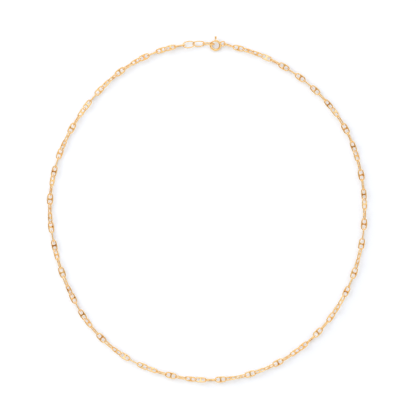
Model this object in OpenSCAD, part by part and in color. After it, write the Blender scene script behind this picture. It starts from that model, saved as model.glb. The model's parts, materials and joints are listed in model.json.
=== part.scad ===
// Necklace of mariner links, closed by a spring ring clasp and laid open in a loop on a level surface.
// Up is +Z, the clasp lies at the +Y side, and the origin is on the surface under the middle of the loop.

/* [Chain] */
// Number of mariner links
link_count = 101; // [60:1:140]
// Outer length of a mariner link
link_length = 5.55; // [5.4:0.05:7]
// Outer width of a mariner link
link_width = 2.9; // [2.7:0.05:3.4]
// Thickness of a mariner link, whose outer edge is rounded by half of it
link_thick = 0.5; // [0.4:0.02:0.52]
// Metal past the far end of each of its two holes
end_wall = 0.42; // [0.36:0.02:0.5]
// Width of the crossbar between the two holes
bar_width = 0.76; // [0.5:0.02:0.9]
// Width of the two holes, across the link
hole_width = 1.4; // [1.34:0.02:1.6]
// Radius of the corners of the two holes
hole_round = 0.44; // [0.3:0.02:0.5]
// Free play that is left between two mariner links drawn tight
link_play = 0.26; // [0.26:0.01:0.4]

/* [End links] */
// Outer length of an open link between the chain and the clasp
end_length = 5.6; // [5.2:0.05:7]
// Outer width of an open end link
end_width = 3.4; // [2.9:0.05:4]
// Thickness of an open end link's wire at its two round ends
end_wire = 0.54; // [0.44:0.02:0.6]
// How much thinner the wire is along the link's long sides
side_thinning = 0.06; // [0.04:0.01:0.16]
// Turn of each round end in degrees: less of it makes a more pointed oval
end_bend = 144; // [124:2:160]
// Free play that is left between two end links drawn tight
end_play = 0.18; // [0.15:0.01:0.3]
// How far the last end link has slid into the clasp, past where a pull would hold it
ring_slide = 0.65; // [0:0.05:1]

/* [Clasp ring] */
// Outer diameter of the clasp's ring
ring_d = 5.2; // [4.8:0.1:6.4]
// Thickness of the ring's tube
tube_d = 1.04; // [0.96:0.02:1.2]
// Wall of the tube
tube_wall = 0.18; // [0.14:0.01:0.22]
// Opening between the two ends of the tube, along its middle line
ring_gap = 1.25; // [1:0.05:1.5]
// Outer diameter of the small eye that is soldered to the ring
eye_d = 2.6; // [2.5:0.05:3]
// Thickness of the eye's wire
eye_wire = 0.5; // [0.4:0.02:0.56]
// Tilt of the clasp, whose inner side rests on the surface, in degrees
clasp_tilt = 16; // [8:1:20]

/* [Clasp gate] */
// Clearance round the gate inside the tube
gate_play = 0.08; // [0.06:0.01:0.1]
// How far the closed gate reaches into the far end of the tube
gate_lap = 0.25; // [0.15:0.05:0.4]
// Length of the gate's tail, from the thumb knob's stem into the tube
gate_tail = 1.1; // [0.8:0.1:1.4]
// Distance from the near end of the tube to the stem of the closed gate
stem_inset = 0.55; // [0.5:0.05:0.8]
// Thickness of the stem
stem_d = 0.34; // [0.26:0.02:0.36]
// Clearance on each side of the stem in its slot
stem_play = 0.08; // [0.06:0.01:0.1]
// Thickness of the thumb knob
knob_d = 0.95; // [0.7:0.05:1.1]
// Height of the thumb knob, from its flat foot to its round top
knob_height = 1.45; // [1.2:0.05:1.8]
// Gap between the foot of the knob and the tube
knob_lift = 0.18; // [0.1:0.02:0.3]

/* [Layout] */
// Direction of the clasp from the middle of the loop, counterclockwise from +X in degrees
clasp_direction = 87; // [0:1:359]
// How far the middle of the ring lies inside the line of the chain
ring_inset = 0.5; // [0.3:0.05:0.9]

/* [Hidden] */
$fn = 40;

// The loop that the chain lies in: distance from its middle, every 15 degrees counterclockwise from +X.
// The loop keeps this form and takes the size that the chain's own length gives it.
ROUTE_RADII = [
    70.4, 70.6, 71.4, 71.6, 72.0, 72.8, 73.6, 73.6, 72.6, 71.0, 70.2, 70.2,
    70.2, 70.2, 71.4, 73.8, 75.6, 76.2, 76.6, 76.4, 75.4, 74.0, 72.4, 71.0
];

// How the chain is twisted: [link, half turns made up to it]. Links with whole half turns lie flat.
FLAT_LINKS = [
    [1, 0.47], [8, 3], [16, 6], [24, 9], [32, 12], [40, 15], [48, 18], [53, 20], [59, 22],
    [64, 24], [71, 27], [74, 28], [76, 29], [81, 31], [86, 33], [91, 35], [93, 36], [95, 37]
];
// Half turns from one link to the next past the last of those flat links
last_twist = 0.43;

// How slack the chain lies: [share of the chain from the end links, slack a link in link thicknesses]
SLACK = [[0, 0.6], [0.35, 0.6], [0.38, 0], [0.75, 0], [0.78, 0.18], [1, 0.18]];

// Rolls of the three end links about the chain's line, in degrees, 0 lying flat
END_ROLLS = [14, -42, 70];

// Direction of the eye from the middle of the ring, counterclockwise from the chain's line in degrees
eye_angle = 17;
// Direction of the near end of the tube, beside the thumb knob
gap_start = 108;
// How far the wire of an end link's side runs on into its round ends
side_reach = 0.15;
// Steps that the loop is measured in
route_steps = 480;
gold = [0.89, 0.7, 0.4];

// Length inside a mariner link and inside an end link
link_inside = link_length - 2 * end_wall;
end_inside = end_length - 2 * end_wire;
end_pitch = end_inside - end_play;
end_count = len(END_ROLLS);

ring_r = (ring_d - tube_d) / 2;
bore_d = tube_d - 2 * tube_wall;
gate_d = bore_d - 2 * gate_play;
gap_angle = turn_of(ring_gap);
// The gate slides back until the whole gap is clear
gate_travel = turn_of(ring_gap + gate_lap);
stem_angle = gap_start - turn_of(stem_inset);
slot_width = stem_d + 2 * stem_play;
// The eye's wire sinks into the wall of the tube by half the wall
eye_center = ring_d / 2 + eye_d / 2 - eye_wire - tube_wall / 2;
knob_foot = ring_d / 2 + knob_lift;
// The ring is low enough to touch the surface on its inner side
ring_height = tube_d / 2 + ring_r * sin(clasp_tilt);
axis_height = link_width / 2;

// Angle on the ring's middle line that a length along it takes up
function turn_of(length) = length / ring_r * 180 / PI;

// Smooth curve through p1 and p2, f of the way between them, with their neighbours p0 and p3
function curve(p0, p1, p2, p3, f) =
    p1 + f * ((p2 - p0) / 2 + f * (p0 - 2.5 * p1 + 2 * p2 - p3 / 2 + f * (1.5 * (p1 - p2) + (p3 - p0) / 2)));

// Point of the unscaled loop in a direction from its middle
function ray(a) =
    let (n = len(ROUTE_RADII), u = a * n / 360, i = floor(u) + n,
         r = curve(ROUTE_RADII[(i - 1) % n], ROUTE_RADII[i % n], ROUTE_RADII[(i + 1) % n],
                   ROUTE_RADII[(i + 2) % n], u - floor(u)))
    r * [cos(a), sin(a)];

RAYS = [for (i = [0 : route_steps]) ray(clasp_direction + 360 * i / route_steps)];
LEGS = [for (i = [0 : route_steps - 1]) norm(RAYS[i + 1] - RAYS[i])];
// Distance run along the unscaled loop up to each of its rays
RUNS = [for (i = 0, run = 0; i <= route_steps; run = run + (i < route_steps ? LEGS[i] : 0), i = i + 1) run];

// Joints between links: each lies where two links meet, in the middle of their play.
// The stations along the loop start at the clasp and run counterclockwise through the end links.
end_start = ring_r - tube_d / 2 + end_inside / 2 - ring_slide - end_pitch / 2;
chain_start = end_start + end_count * end_pitch;
function pitch(k) = link_inside - link_play - link_thick * lookup(k / link_count, SLACK);
STATIONS = [for (k = 0, s = chain_start; k <= link_count; k = k + 1, s = s + pitch(k)) s];
// How far along the chain's line the eye holds the last link
eye_reach = eye_center * cos(eye_angle) + eye_d / 2 - eye_wire - link_play / 2;
loop_length = STATIONS[link_count] + eye_reach;
loop_scale = loop_length / RUNS[route_steps];
ROUTE_X = [for (i = [0 : route_steps]) [RUNS[i] * loop_scale, RAYS[i].x * loop_scale]];
ROUTE_Y = [for (i = [0 : route_steps]) [RUNS[i] * loop_scale, RAYS[i].y * loop_scale]];
function place(s) = [lookup(s, ROUTE_X), lookup(s, ROUTE_Y)];
function heading(v) = atan2(v.y, v.x);

// The ring stands across the chain's line, its local x pointing at the chain's last link
clasp_heading = heading(place(0) - place(1));
ring_center = place(0) + ring_inset * [sin(clasp_heading), -cos(clasp_heading)];
eye_joint = ring_center + turned([eye_reach, eye_center * sin(eye_angle) * cos(clasp_tilt)], clasp_heading);
function turned(v, a) = [v.x * cos(a) - v.y * sin(a), v.x * sin(a) + v.y * cos(a)];
function joint(k) = k < link_count ? place(STATIONS[k]) : eye_joint;
function end_joint(k) = place(end_start + (end_count - k) * end_pitch);

// Half turns of the chain up to a link
last_flat = FLAT_LINKS[len(FLAT_LINKS) - 1];
function half_turns(k) = k <= last_flat[0] ? lookup(k, FLAT_LINKS)
                                           : last_flat[1] + (k - last_flat[0]) * last_twist;

// A link rests no lower than on the surface
function rest_height(width, wire, roll) = max(axis_height, (width - wire) / 2 * abs(sin(roll)) + wire / 2);

// Open oval of wire along x. Its round ends run smoothly into its long sides, which are flatter arcs of
// thinner wire.
module oval(length, width, wire) {
    side_wire = wire - side_thinning;
    // Distance between the centers of an end's arc and a side's arc
    apart = (length - wire - width + side_wire) / 2 / (cos(end_bend / 2) + sin(end_bend / 2) - 1);
    end_x = apart * cos(end_bend / 2);
    end_r = (length - wire) / 2 - end_x;
    side_r = end_r + apart;
    reach = side_reach / side_r * 180 / PI;
    for (side = [-1, 1]) {
        translate([side * end_x, 0, 0]) rotate([0, 0, 90 - 90 * side - end_bend / 2])
            rotate_extrude(angle = end_bend) translate([end_r, 0]) circle(d = wire);
        translate([0, -side * apart * sin(end_bend / 2), 0])
            rotate([0, 0, 90 * side - 90 + end_bend / 2 - reach])
                rotate_extrude(angle = 180 - end_bend + 2 * reach) translate([side_r, 0]) circle(d = side_wire);
    }
}

// Flat oval with a round edge and a crossbar between two holes, along x
module mariner_link() {
    bend = (link_width - link_thick) / 2;
    straight = link_length - link_width;
    hole_length = link_length / 2 - end_wall - bar_width / 2;
    difference() {
        union() {
            rotate([90, 0, 90]) linear_extrude(height = straight, center = true) {
                square([2 * bend, link_thick], center = true);
                for (side = [-1, 1]) translate([side * bend, 0]) circle(d = link_thick);
            }
            for (side = [-1, 1]) translate([side * straight / 2, 0, 0]) rotate([0, 0, -90 * side])
                rotate_extrude(angle = 180) {
                    translate([0, -link_thick / 2]) square([bend, link_thick]);
                    translate([bend, 0]) circle(d = link_thick);
                }
        }
        for (side = [-1, 1]) translate([side * (bar_width + hole_length) / 2, 0, 0])
            linear_extrude(height = 2 * link_thick, center = true) rounded(hole_length, hole_width, hole_round);
    }
}

// Rectangle with round corners
module rounded(length, width, corner) {
    square([length, width - 2 * corner], center = true);
    square([length - 2 * corner, width], center = true);
    for (x = [-1, 1], y = [-1, 1])
        translate([x * (length / 2 - corner), y * (width / 2 - corner)]) circle(r = corner);
}

// Lays a link between two joints
module lay(from, to, height, roll) {
    middle = (from + to) / 2;
    translate([middle.x, middle.y, height])
        rotate([0, 0, heading(to - from)]) rotate([roll, 0, 0]) children();
}

module chain() {
    color(gold) for (k = [1 : link_count]) {
        lay(joint(k - 1), joint(k), axis_height, -180 * half_turns(k)) mariner_link();
    }
}

// One of the open links between the chain and the clasp, number 1 on the chain and the last on the ring
module end_link(number) {
    roll = END_ROLLS[number - 1];
    color(gold) lay(end_joint(number), end_joint(number - 1), rest_height(end_width, end_wire, roll), roll)
        oval(end_length, end_width, end_wire);
}

// Puts what is drawn round the ring's middle where the clasp lies
module at_clasp() {
    translate([ring_center.x, ring_center.y, ring_height])
        rotate([0, 0, clasp_heading]) rotate([clasp_tilt, 0, 0]) children();
}

// Part of a ring of round wire on the clasp's middle line, counterclockwise from a direction
module arc(start, angle, d) {
    rotate([0, 0, start]) rotate_extrude(angle = angle) translate([ring_r, 0]) circle(d = d);
}

// Hollow tube, open where the gate crosses its gap, with a slot for the stem and the eye soldered on
module clasp_ring() {
    slot_play = turn_of(stem_d / 2 + stem_play);
    color(gold) at_clasp() difference() {
        union() {
            arc(gap_start + gap_angle, 360 - gap_angle, tube_d);
            rotate([0, 0, eye_angle]) translate([eye_center, 0, 0])
                rotate_extrude() translate([(eye_d - eye_wire) / 2, 0]) circle(d = eye_wire);
        }
        rotate_extrude() translate([ring_r, 0]) circle(d = bore_d);
        rotate([0, 0, stem_angle - gate_travel - slot_play])
            rotate_extrude(angle = gate_travel + 2 * slot_play)
                translate([ring_r, -slot_width / 2]) square([tube_d, slot_width]);
    }
}

// Rod that closes the gap, with a stem and a round-topped thumb knob outside the tube
module clasp_gate() {
    tail = turn_of(gate_tail);
    top = knob_foot + knob_height - knob_d / 2;
    color(gold) at_clasp() {
        arc(stem_angle - tail, tail + gap_start - stem_angle + gap_angle + turn_of(gate_lap), gate_d);
        rotate([0, 0, stem_angle]) {
            translate([ring_r, 0, 0])
                rotate([0, 90, 0]) cylinder(h = knob_foot - ring_r + knob_d / 4, d = stem_d);
            translate([knob_foot, 0, 0]) rotate([0, 90, 0]) cylinder(h = top - knob_foot, d = knob_d);
            translate([top, 0, 0]) sphere(d = knob_d);
        }
    }
}

chain();
end_link(1);  // end_link_1
end_link(2);  // end_link_2
end_link(3);  // end_link_3
clasp_ring();
clasp_gate();
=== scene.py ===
"""Mariner link chain necklace: polished gold links, end links and spring ring clasp, laid in a loop on white."""
import bpy
import bmesh
import json
import numpy
from math import atan2, cos, degrees, hypot, pi, radians, sin
from mathutils import Matrix, Vector


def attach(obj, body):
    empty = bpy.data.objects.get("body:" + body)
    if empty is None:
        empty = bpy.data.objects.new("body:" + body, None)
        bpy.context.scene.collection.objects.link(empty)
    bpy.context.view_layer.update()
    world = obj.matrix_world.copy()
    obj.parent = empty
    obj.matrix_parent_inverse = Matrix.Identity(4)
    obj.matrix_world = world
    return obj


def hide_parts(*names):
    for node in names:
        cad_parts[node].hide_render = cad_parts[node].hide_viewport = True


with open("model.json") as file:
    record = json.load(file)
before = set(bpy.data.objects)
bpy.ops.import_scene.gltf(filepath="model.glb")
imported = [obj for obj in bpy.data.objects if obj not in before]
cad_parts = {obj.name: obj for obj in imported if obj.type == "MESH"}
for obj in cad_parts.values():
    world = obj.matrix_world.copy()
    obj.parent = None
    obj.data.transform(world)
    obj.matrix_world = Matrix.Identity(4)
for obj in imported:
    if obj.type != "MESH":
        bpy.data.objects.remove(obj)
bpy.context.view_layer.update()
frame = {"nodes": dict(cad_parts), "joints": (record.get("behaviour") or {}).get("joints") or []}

# Pieces are shaped in millimetres about the origin and shrunk to metres when they are put in place
MM = 0.001

# Sizes of a mariner link, how much its sides bow, and how far its crossbar reaches into the rim
LINK_LENGTH, LINK_WIDTH, LINK_THICK = 5.42, 2.82, 0.5
HOLE_WIDTH, END_WALL, SIDE_BOW = 1.42, 0.355, 0.16
BAR_WIDTH, BAR_THICK, BAR_ROUNDING, BAR_REACH = 0.7, 0.42, 0.13, 0.25

# How the crossbar widens: at each distance from the link's middle line, its width as a share of the waist's
BAR_FLARES = ((0.2, 1), (0.34, 1.07), (0.46, 1.25), (0.56, 1.48), (0.65, 1.75), (0.74, 2.08), (0.96, 2.6))

# Sizes of an open end link, and the turn of each of its round ends in degrees
END_LENGTH, END_WIDTH, END_WIRE, END_TURN = 5.58, 3.4, 0.5, 144

# Sizes of the clasp; its angles are counterclockwise from the line to the chain's last link
RING_R, TUBE_R, TUBE_WALL, TUBE_LIP = 2.08, 0.52, 0.18, 0.035
GAP_START, GAP_END = 108, 142.43
SLOT_START, SLOT_END, SLOT_HEIGHT = 44.65, 99.74, 0.5
EYE_ANGLE, EYE_CENTER, EYE_R, EYE_WIRE_R = 17, 3.31, 1.05, 0.25
ROD_START, ROD_END, ROD_R, ROD_ROUNDING = 62.55, 149.3, 0.26, 0.06
STEM_ANGLE, STEM_R, STEM_REACH = 92.85, 0.15, 0.2
KNOB_FOOT, KNOB_HEIGHT, KNOB_R, KNOB_DOME, KNOB_ROUNDING = 2.98, 1.25, 0.475, 0.97, 0.1

# How finely round forms are cut: steps along a curve, and sides round what follows it
RIM_STEPS, RIM_SIDES, SIDE_STEPS = 32, 12, 3
END_STEPS, END_SIDE_STEPS, END_SIDES = 20, 6, 14
TUBE_STEPS, SLOT_STEPS, LIP_STEPS, TUBE_SIDES = 60, 14, 2, 24
BORE_STEPS, EYE_STEPS, EYE_SIDES = 96, 40, 16
ROD_STEPS, ROD_SIDES, STEM_SIDES, KNOB_SIDES = 24, 20, 16, 28

# Corners nearer than this are one; the mirror's seam and the chain in metres have their own
WELD, SEAM_WELD, CHAIN_WELD = 0.0005, 0.001, 0.0000005
# How far a corner may stand from the place that it is picked by
NEAR = 0.01


# --- Ways of working

def deselect():
    bpy.ops.object.select_all(action="DESELECT")


def choose(*pieces):
    """Selects these pieces alone, with the first one active."""
    deselect()
    for piece in pieces:
        piece.select_set(True)
    bpy.context.view_layer.objects.active = pieces[0]


def new_piece(add, **settings):
    """Adds a primitive with nothing else selected, and keeps its place in its mesh."""
    deselect()
    add(**settings)
    bpy.ops.object.transform_apply(location=True, rotation=True, scale=True)
    return bpy.context.object


def copy_of(piece):
    twin = piece.copy()
    twin.data = piece.data.copy()
    bpy.context.scene.collection.objects.link(twin)
    return twin


def work_on(piece):
    """Opens one piece in edit mode with all of it selected."""
    choose(piece)
    bpy.ops.object.mode_set(mode="EDIT")
    bpy.ops.mesh.select_all(action="SELECT")


def leave():
    bpy.ops.object.mode_set(mode="OBJECT")


def middle_of(part):
    """The middle of an edge or a face."""
    return sum((corner.co for corner in part.verts), Vector()) / len(part.verts)


def pick(piece, kind, test):
    """Selects the corners, edges or faces of an open piece that pass a test."""
    bpy.ops.mesh.select_mode(type=kind)
    bpy.ops.mesh.select_all(action="DESELECT")
    shape = bmesh.from_edit_mesh(piece.data)
    parts = {"VERT": shape.verts, "EDGE": shape.edges, "FACE": shape.faces}[kind]
    parts.index_update()
    for part in parts:
        part.select_set(bool(test(part)))
    bmesh.update_edit_mesh(piece.data)


def stretch(x, y=1, z=1):
    """Resizes what is selected in an open piece about the origin."""
    bpy.ops.transform.resize(value=(x, y, z), center_override=(0, 0, 0))


def cut(point, square, **settings):
    """Cuts all of an open piece through along a plane."""
    bpy.ops.mesh.select_all(action="SELECT")
    bpy.ops.mesh.bisect(plane_co=point, plane_no=square, **settings)


def sweep(angle, steps, center=(0, 0, 0)):
    """Spins the selected section on counterclockwise, which is how the spin goes round an axis that points down."""
    bpy.ops.mesh.spin(steps=steps, angle=radians(angle), center=center, axis=(0, 0, -1))


def finish_with(piece, kind, **settings):
    """Adds one modifier and applies it."""
    choose(piece)
    modifier = piece.modifiers.new(kind.title(), kind)
    for name, value in settings.items():
        setattr(modifier, name, value)
    bpy.ops.object.modifier_apply(modifier=modifier.name)


def round_edges(piece, width, segments, angle):
    """Rounds the edges that are sharper than an angle."""
    finish_with(piece, "BEVEL", width=width, segments=segments, limit_method="ANGLE", angle_limit=radians(angle))


def smooth(piece, angle=None):
    """Shades a piece smoothly, all over or up to the edges that are sharper than an angle."""
    choose(piece)
    if angle is None:
        bpy.ops.object.shade_smooth()
    else:
        bpy.ops.object.shade_smooth_by_angle(angle=radians(angle))


def outwards(piece):
    """Merges a piece's doubles and turns its faces outwards."""
    work_on(piece)
    bpy.ops.mesh.remove_doubles(threshold=WELD)
    bpy.ops.mesh.normals_make_consistent(inside=False)
    leave()


def joined(name, pieces):
    choose(*pieces)
    bpy.ops.object.join()
    pieces[0].name = name
    pieces[0].data.name = name
    return pieces[0]


def put(piece, place):
    """Moves a piece shaped in millimetres to its place in the necklace, in its mesh."""
    piece.data.transform(place @ Matrix.Scale(MM, 4))
    piece.data.update()
    return piece


# --- Where the solids lie

def lie_of(mesh):
    """How a flat symmetrical link lies, with x along it and z square to its flat side.

    This comes from the areas that its faces show each way, so it doesn't depend on how the mesh is cut.
    """
    spread = numpy.zeros((3, 3))
    middle = Vector((0, 0, 0))
    total = 0
    for face in mesh.polygons:
        normal = numpy.array(face.normal)
        spread += face.area * numpy.outer(normal, normal)
        middle += face.area * face.center
        total += face.area
    axes = numpy.linalg.eigh(spread)[1]
    along, square = Vector(axes[:, 0]).normalized(), Vector(axes[:, 2]).normalized()
    if square.z < 0:
        square.negate()
    turn = Matrix((along, square.cross(along), square)).transposed()
    return Matrix.Translation(middle / total) @ turn.to_4x4()


def single_links(node):
    """How each link of the chain's node lies, in order round the loop."""
    loose = copy_of(node)
    loose.parent = None
    work_on(loose)
    bpy.ops.mesh.remove_doubles(threshold=CHAIN_WELD)
    bpy.ops.mesh.separate(type="LOOSE")
    leave()
    parts = list(bpy.context.selected_objects)
    places = [lie_of(part.data) for part in parts]
    for part in parts:
        bpy.data.objects.remove(part)
    return sorted(places, key=lambda place: atan2(place.translation.y, place.translation.x))


def clasp_lie(hinge):
    """How the clasp lies, from its gate's hinge, whose axis points down through the middle of the ring."""
    square = -Vector(hinge["axis"]).normalized()
    across = Vector((-square.y, square.x, 0)).normalized()
    turn = Matrix((across, square.cross(across), square)).transposed()
    return Matrix.Translation(Vector(hinge["pos_m"])) @ turn.to_4x4()


# --- Links

def mariner_link():
    """One flat oval link: a rim, broad at the sides and thin at the ends, and a crossbar that flares into it."""
    rim = (LINK_WIDTH - HOLE_WIDTH) / 2
    bend, straight = (LINK_WIDTH - rim) / 2, LINK_LENGTH - LINK_WIDTH
    link = new_piece(bpy.ops.mesh.primitive_torus_add, major_radius=bend, minor_radius=rim / 2,
                     major_segments=RIM_STEPS, minor_segments=RIM_SIDES)
    rings = {}
    for corner in link.data.vertices:
        rings.setdefault(round(hypot(corner.co.x, corner.co.y), 3), set()).add(corner.index)
    work_on(link)
    bpy.ops.transform.resize(value=(1, 1, LINK_THICK / rim))
    # The inner side of the rim is drawn out along the link, to where the wall at the end is thin
    for radius, corners in rings.items():
        depth = (LINK_WIDTH / 2 - radius) / rim
        pick(link, "VERT", lambda corner: corner.index in corners)
        stretch((LINK_WIDTH / 2 - END_WALL * depth) / radius)
    # Half of the rim is moved out to the link's end, drawn back to its middle and mirrored
    cut((0, 0, 0), (1, 0, 0), clear_inner=True)
    bpy.ops.mesh.select_all(action="SELECT")
    bpy.ops.transform.translate(value=(straight / 2, 0, 0))
    pick(link, "EDGE", lambda edge: edge.is_boundary)
    for step in range(SIDE_STEPS):
        back = {"value": (-straight / 2 / SIDE_STEPS, 0, 0)}
        bpy.ops.mesh.extrude_region_move(TRANSFORM_OT_translate=back)
    leave()
    finish_with(link, "MIRROR", use_axis=(True, False, False), merge_threshold=SEAM_WELD)
    finish_with(link, "CAST", cast_type="CYLINDER", factor=SIDE_BOW, use_z=False)
    outwards(link)
    work_on(link)
    stretch(LINK_LENGTH / link.dimensions.x, LINK_WIDTH / link.dimensions.y)
    leave()
    smooth(link)
    return joined("mariner_link", [link, crossbar()])


def crossbar():
    """The bar between a link's two holes, flat on top with round edges, wider where it meets the rim."""
    bar = new_piece(bpy.ops.mesh.primitive_cube_add, size=1, scale=(BAR_WIDTH, HOLE_WIDTH + 2 * BAR_REACH, BAR_THICK))
    work_on(bar)
    pick(bar, "EDGE", lambda edge: abs(middle_of(edge).x) > BAR_WIDTH / 2 - NEAR
         and abs(middle_of(edge).z) > BAR_THICK / 2 - NEAR)
    bpy.ops.mesh.bevel(offset=BAR_ROUNDING, segments=2, profile=0.5, affect="EDGES")
    for y, flare in BAR_FLARES[:-1]:
        for side in (-y, y):
            cut((0, side, 0), (0, 1, 0))
    for y, flare in BAR_FLARES:
        pick(bar, "VERT", lambda corner: abs(abs(corner.co.y) - y) < NEAR)
        stretch(flare)
    leave()
    outwards(bar)
    smooth(bar, angle=60)
    # The crossbar is marked for a painted shade, a darker gold that stands in for the dark reflection on its flat top
    for mark in bar.data.attributes.new("painted_shade", "FLOAT", "POINT").data:
        mark.value = 1
    return bar


def end_link():
    """An open oval of round wire, with two round ends and two flatter sides."""
    side_turn = (180 - END_TURN) / 2
    apart = (END_LENGTH - END_WIDTH) / 2 / (sin(radians(side_turn)) + cos(radians(side_turn)) - 1)
    link = new_piece(bpy.ops.mesh.primitive_circle_add, vertices=END_SIDES, radius=END_WIRE / 2,
                     rotation=(0, pi / 2, 0), location=(0, (END_WIRE - END_WIDTH) / 2, 0))
    work_on(link)
    # Half of one side, one end and half of the other side
    sweep(side_turn, END_SIDE_STEPS, (0, apart * cos(radians(side_turn)), 0))
    sweep(END_TURN, END_STEPS, (apart * sin(radians(side_turn)), 0, 0))
    sweep(side_turn, END_SIDE_STEPS, (0, -apart * cos(radians(side_turn)), 0))
    leave()
    finish_with(link, "MIRROR", use_axis=(True, False, False), merge_threshold=SEAM_WELD)
    outwards(link)
    smooth(link)
    return link


# --- Clasp

def round_point(radius, angle):
    """A point in the clasp's own plane, at an angle round its ring."""
    return (radius * cos(radians(angle)), radius * sin(radians(angle)), 0)


def ring_section(radius, angle, sides):
    """A round section of the clasp's ring, standing at an angle on its middle line, open in edit mode."""
    section = new_piece(bpy.ops.mesh.primitive_circle_add, vertices=sides, radius=radius,
                        rotation=(pi / 2, 0, radians(angle)), location=round_point(RING_R, angle))
    work_on(section)
    return section


def in_slot(face):
    """Whether a face of the tube lies where the stem slides, on the outer side."""
    middle = middle_of(face)
    angle = degrees(atan2(middle.y, middle.x))
    outer = hypot(middle.x, middle.y) > RING_R
    return SLOT_START < angle < SLOT_END and abs(middle.z) < SLOT_HEIGHT / 2 and outer


def clasp_tube():
    """The hollow ring with its gap and its slot."""
    tube = ring_section(TUBE_R, GAP_END, TUBE_SIDES)
    sweep(360 + SLOT_START - GAP_END, TUBE_STEPS)
    sweep(SLOT_END - SLOT_START, SLOT_STEPS)
    sweep(GAP_START - SLOT_END, LIP_STEPS)
    pick(tube, "FACE", in_slot)
    bpy.ops.mesh.delete(type="FACE")
    leave()
    outwards(tube)
    # The tube has open ends, so it may still be inside out
    face = tube.data.polygons[0]
    middle = Vector((face.center.x, face.center.y, 0)).normalized() * RING_R
    if (face.center - middle).dot(face.normal) < 0:
        work_on(tube)
        bpy.ops.mesh.flip_normals()
        leave()
    finish_with(tube, "SOLIDIFY", thickness=TUBE_WALL, offset=-1, use_even_offset=True)
    round_edges(tube, TUBE_LIP, segments=2, angle=50)
    smooth(tube, angle=40)
    return tube


def clasp_ring():
    """The tube, and the eye that is soldered to it."""
    tube = clasp_tube()
    eye = new_piece(bpy.ops.mesh.primitive_torus_add, major_radius=EYE_R, minor_radius=EYE_WIRE_R,
                    major_segments=EYE_STEPS, minor_segments=EYE_SIDES, location=round_point(EYE_CENTER, EYE_ANGLE))
    # The eye's wire ends within the tube's wall, so the rod can slide past it
    bore = new_piece(bpy.ops.mesh.primitive_torus_add, major_radius=RING_R, minor_radius=TUBE_R - TUBE_WALL / 2,
                     major_segments=BORE_STEPS, minor_segments=TUBE_SIDES)
    finish_with(eye, "BOOLEAN", object=bore, operation="DIFFERENCE", solver="EXACT")
    bpy.data.objects.remove(bore)
    smooth(eye, angle=40)
    return joined("spring_ring", [tube, eye])


def gate_rod():
    """The rod that slides in the tube, closed and rounded at both ends."""
    rod = ring_section(ROD_R, ROD_START, ROD_SIDES)
    sweep(ROD_END - ROD_START, ROD_STEPS)
    pick(rod, "EDGE", lambda edge: edge.is_boundary)
    bpy.ops.mesh.edge_face_add()
    leave()
    outwards(rod)
    round_edges(rod, ROD_ROUNDING, segments=3, angle=60)
    smooth(rod, angle=40)
    return rod


def thumb_knob():
    """The knob on the stem, a short post with a domed top, standing up from the origin."""
    top = KNOB_FOOT + KNOB_HEIGHT
    knob = new_piece(bpy.ops.mesh.primitive_cylinder_add, vertices=KNOB_SIDES, radius=KNOB_R, depth=KNOB_HEIGHT,
                     location=(0, 0, KNOB_FOOT + KNOB_HEIGHT / 2))
    work_on(knob)
    pick(knob, "EDGE", lambda edge: middle_of(edge).z > top - NEAR)
    bpy.ops.mesh.bevel(offset=KNOB_R * KNOB_DOME, segments=7, profile=0.5, affect="EDGES")
    pick(knob, "EDGE", lambda edge: middle_of(edge).z < KNOB_FOOT + NEAR)
    bpy.ops.mesh.bevel(offset=KNOB_ROUNDING, segments=3, profile=0.5, affect="EDGES")
    leave()
    smooth(knob, angle=40)
    return knob


def clasp_gate():
    """Sliding rod with its stem and thumb knob."""
    rod = gate_rod()
    stem_top = KNOB_FOOT + STEM_REACH
    stem = new_piece(bpy.ops.mesh.primitive_cylinder_add, vertices=STEM_SIDES, radius=STEM_R,
                     depth=stem_top - RING_R, location=(0, 0, (stem_top + RING_R) / 2))
    smooth(stem, angle=40)
    knob = thumb_knob()
    for piece in (stem, knob):
        piece.data.transform(Matrix.Rotation(radians(STEM_ANGLE), 4, "Z") @ Matrix.Rotation(pi / 2, 4, "Y"))
    return joined("thumb_gate", [rod, stem, knob])


# --- Finish

# Tones of the gold, paler and warmer in soft patches, and a painted shade on the crossbars that stands in for their
# dark reflection
WARM_GOLD, PALE_GOLD, PAINTED_SHADE_GOLD = (0.95, 0.6, 0.23), (0.97, 0.69, 0.33), (0.8, 0.4, 0.12)
# Roughness where the gold is best polished and where it is worn
POLISHED, WORN = 0.07, 0.18


def noise_of(tree, place, scale, detail):
    """Soft patches that lie in a piece's own coordinates; they are smaller at a higher scale."""
    noise = tree.nodes.new("ShaderNodeTexNoise")
    noise.inputs["Scale"].default_value = scale
    noise.inputs["Detail"].default_value = detail
    tree.links.new(place.outputs["Object"], noise.inputs["Vector"])
    return noise.outputs["Fac"]


def range_of(tree, value, start, end, low=0, high=1, kind="LINEAR"):
    """Turns a value that runs from start to end into one that runs from low to high."""
    span = tree.nodes.new("ShaderNodeMapRange")
    span.interpolation_type = kind
    for name, limit in (("From Min", start), ("From Max", end), ("To Min", low), ("To Max", high)):
        span.inputs[name].default_value = limit
    tree.links.new(value, span.inputs["Value"])
    return span.outputs["Result"]


def mix_of(tree, share, first, second):
    """Mixes a share of a plain colour into another colour."""
    mix = tree.nodes.new("ShaderNodeMix")
    mix.data_type = "RGBA"
    tree.links.new(share, mix.inputs["Factor"])
    tree.links.new(first, mix.inputs["A"])
    mix.inputs["B"].default_value = (*second, 1)
    return mix.outputs["Result"]


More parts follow.
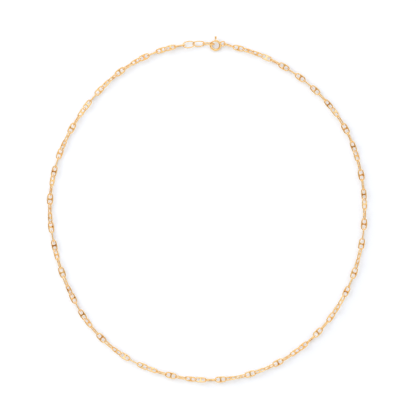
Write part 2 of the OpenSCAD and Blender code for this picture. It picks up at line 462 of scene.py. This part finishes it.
def polished_gold():
    """Polished yellow gold, darkened by a painted shade on the parts that are marked for it, with a soft wear in its
    polish.
    """
    gold = bpy.data.materials.new("polished_gold")
    gold.use_nodes = True
    tree = gold.node_tree
    shader = tree.nodes["Principled BSDF"]
    shader.inputs["Metallic"].default_value = 1.0
    place = tree.nodes.new("ShaderNodeTexCoord")

    patches = noise_of(tree, place, scale=300, detail=2)
    tint = tree.nodes.new("ShaderNodeValToRGB")
    for stop, position, tone in zip(tint.color_ramp.elements, (0.36, 0.66), (WARM_GOLD, PALE_GOLD)):
        stop.position, stop.color = position, (*tone, 1)
    tree.links.new(patches, tint.inputs["Fac"])
    # The painted shade is mixed in where a piece is marked for it, in soft patches
    painted_shade = tree.nodes.new("ShaderNodeAttribute")
    painted_shade.attribute_name = "painted_shade"
    share = tree.nodes.new("ShaderNodeMath")
    share.operation = "MULTIPLY"
    tree.links.new(painted_shade.outputs["Fac"], share.inputs[0])
    tree.links.new(range_of(tree, patches, start=0.56, end=0.38), share.inputs[1])
    tone = mix_of(tree, share.outputs["Value"], tint.outputs["Color"], PAINTED_SHADE_GOLD)
    tree.links.new(tone, shader.inputs["Base Color"])

    polish = noise_of(tree, place, scale=1500, detail=4)
    wear = range_of(tree, polish, start=0.3, end=0.75, low=POLISHED, high=WORN)
    tree.links.new(wear, shader.inputs["Roughness"])
    grain = tree.nodes.new("ShaderNodeBump")
    grain.inputs["Strength"].default_value = 0.12
    grain.inputs["Distance"].default_value = 0.02 * MM
    tree.links.new(polish, grain.inputs["Height"])
    tree.links.new(grain.outputs["Normal"], shader.inputs["Normal"])
    return gold


def white_paper():
    """Matt white paper, lit from below as well, as on a light table."""
    white = bpy.data.materials.new("white_paper")
    white.use_nodes = True
    shader = white.node_tree.nodes["Principled BSDF"]
    shader.inputs["Base Color"].default_value = (0.68, 0.703, 0.716, 1)
    shader.inputs["Roughness"].default_value = 0.9
    shader.inputs["Specular IOR Level"].default_value = 0.1
    shader.inputs["Emission Color"].default_value = (1, 1, 1, 1)
    shader.inputs["Emission Strength"].default_value = 0.192
    return white


def dress(piece, finish):
    piece.data.materials.clear()
    piece.data.materials.append(finish)


# --- The necklace

gold = polished_gold()

pattern = mariner_link()
links_of_chain = [put(copy_of(pattern), place) for place in single_links(frame["nodes"]["chain"])]
bpy.data.objects.remove(pattern)
chain = joined("mariner_links", links_of_chain)
dress(chain, gold)
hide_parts("chain")
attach(chain, "necklace")

pattern = end_link()
for number in (1, 2, 3):
    node = "end_link_%d" % number
    piece = put(copy_of(pattern), lie_of(frame["nodes"][node].data))
    piece.name = piece.data.name = "open_link_%d" % number
    dress(piece, gold)
    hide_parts(node)
    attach(piece, "necklace")
bpy.data.objects.remove(pattern)

clasp_place = clasp_lie(frame["joints"][0])
for piece, node, body in ((clasp_ring(), "clasp_ring", "necklace"), (clasp_gate(), "clasp_gate", "gate")):
    put(piece, clasp_place)
    dress(piece, gold)
    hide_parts(node)
    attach(piece, body)

# --- Surface, light and camera

table = new_piece(bpy.ops.mesh.primitive_plane_add, size=3, location=(0, 0, 0))
table.name = "white_table"
dress(table, white_paper())

# The tent is white, with darker and brighter places in it. Each row gives the way towards a place, the cosines of
# the angles from that way at which its colour starts and is full, and the colour.
TENT_PLACES = (
    ((0, 0, 1), 0.92, 0.985, (0.6, 0.5, 0.42)),                # the photographer above
    ((-0.87, -0.25, 0.42), 0.74, 0.86, (0.4, 0.25, 0.13)),     # a warm dark wall on the left
    ((0.25, 0.72, 0.64), 0.72, 0.88, (1.22, 1.34, 1.68)),      # a bright window behind
    ((0.44, 0.2, 0.87), 0.96, 0.985, (0.3, 0.17, 0.08)),       # a dark lamp stand high on the right
)
world = bpy.data.worlds.new("studio")
bpy.context.scene.world = world
world.use_nodes = True
sky = world.node_tree
direction = sky.nodes.new("ShaderNodeTexCoord")
white = sky.nodes.new("ShaderNodeRGB")
white.outputs["Color"].default_value = (1, 1, 1, 1)
tent = white.outputs["Color"]
for toward, start, full, shade in TENT_PLACES:
    nearness = sky.nodes.new("ShaderNodeVectorMath")
    nearness.operation = "DOT_PRODUCT"
    nearness.inputs[1].default_value = toward
    sky.links.new(direction.outputs["Generated"], nearness.inputs[0])
    fade = range_of(sky, nearness.outputs["Value"], start, full, kind="SMOOTHSTEP")
    tent = mix_of(sky, fade, tent, shade)
sky.links.new(tent, sky.nodes["Background"].inputs["Color"])
sky.nodes["Background"].inputs["Strength"].default_value = 1.0


def soft_light(name, location, size, power):
    """A square lamp that shines at the necklace's middle."""
    lamp = bpy.data.lights.new(name, "AREA")
    lamp.shape, lamp.size, lamp.energy = "SQUARE", size, power
    light = bpy.data.objects.new(name, lamp)
    bpy.context.scene.collection.objects.link(light)
    light.location = location
    light.rotation_euler = (Vector((0, 0, 0)) - Vector(location)).to_track_quat("-Z", "Y").to_euler()
    return light


# The window throws the soft shadow, and the paler panel beside it is what the gold mirrors
window = soft_light("window_light", (-1.3, 0.45, 0.85), size=1.7, power=23)
window.visible_glossy = False
soft_light("pale_panel", (-0.5, 0.9, 1.0), size=1.4, power=1)

# The photograph looks straight down, and its middle pixel is just right of and above the loop's middle
HEIGHT = 1.2
PIXEL = 0.4443 * MM
VIEW_WIDTH = 416 * PIXEL
SENSOR_WIDTH = 36
lens = bpy.data.cameras.new("camera")
lens.sensor_width = SENSOR_WIDTH
lens.lens = SENSOR_WIDTH * HEIGHT / VIEW_WIDTH
lens.clip_start, lens.clip_end = 0.05, 10
camera = bpy.data.objects.new("camera", lens)
bpy.context.scene.collection.objects.link(camera)
camera.location = (0.444 * MM, 0.222 * MM, HEIGHT)
bpy.context.scene.camera = camera
bpy.context.scene.view_settings.view_transform = "Standard"
